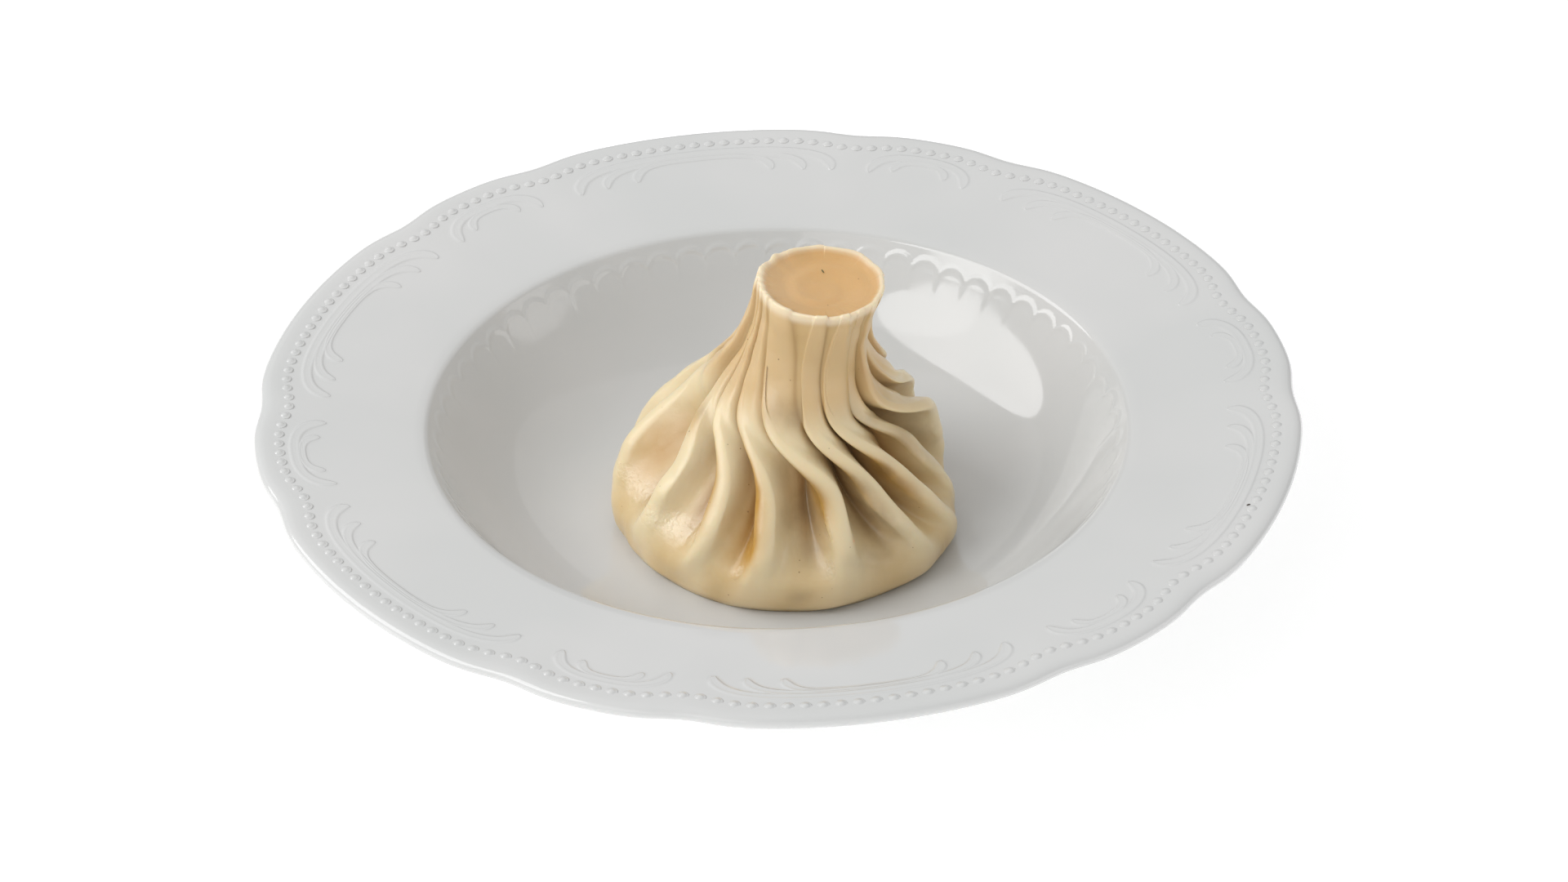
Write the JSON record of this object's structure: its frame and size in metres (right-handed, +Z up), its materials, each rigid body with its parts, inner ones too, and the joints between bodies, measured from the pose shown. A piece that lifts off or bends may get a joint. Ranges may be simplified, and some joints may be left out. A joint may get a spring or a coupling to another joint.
{
  "type": "khinkali dumpling in a rim soup plate",
  "caption": "Pleated boiled dumpling with a cut stem, resting in the well of a white porcelain soup plate with a lobed, beaded rim.",
  "frame": {"origin": "on the table under the middle of the plate's foot ring", "axes": "+Z up, +X to the right and +Y away from the viewer of the picture"},
  "size_m": [0.2294, 0.2306, 0.0681],
  "materials": {
    "porcelain": "white glazed porcelain, glossy",
    "dough": "boiled wheat dough, pale cream, moist and slightly translucent"
  },
  "bodies": {
    "root": {"plate": "porcelain", "khinkali": "dough"}
  },
  "joints": []
}
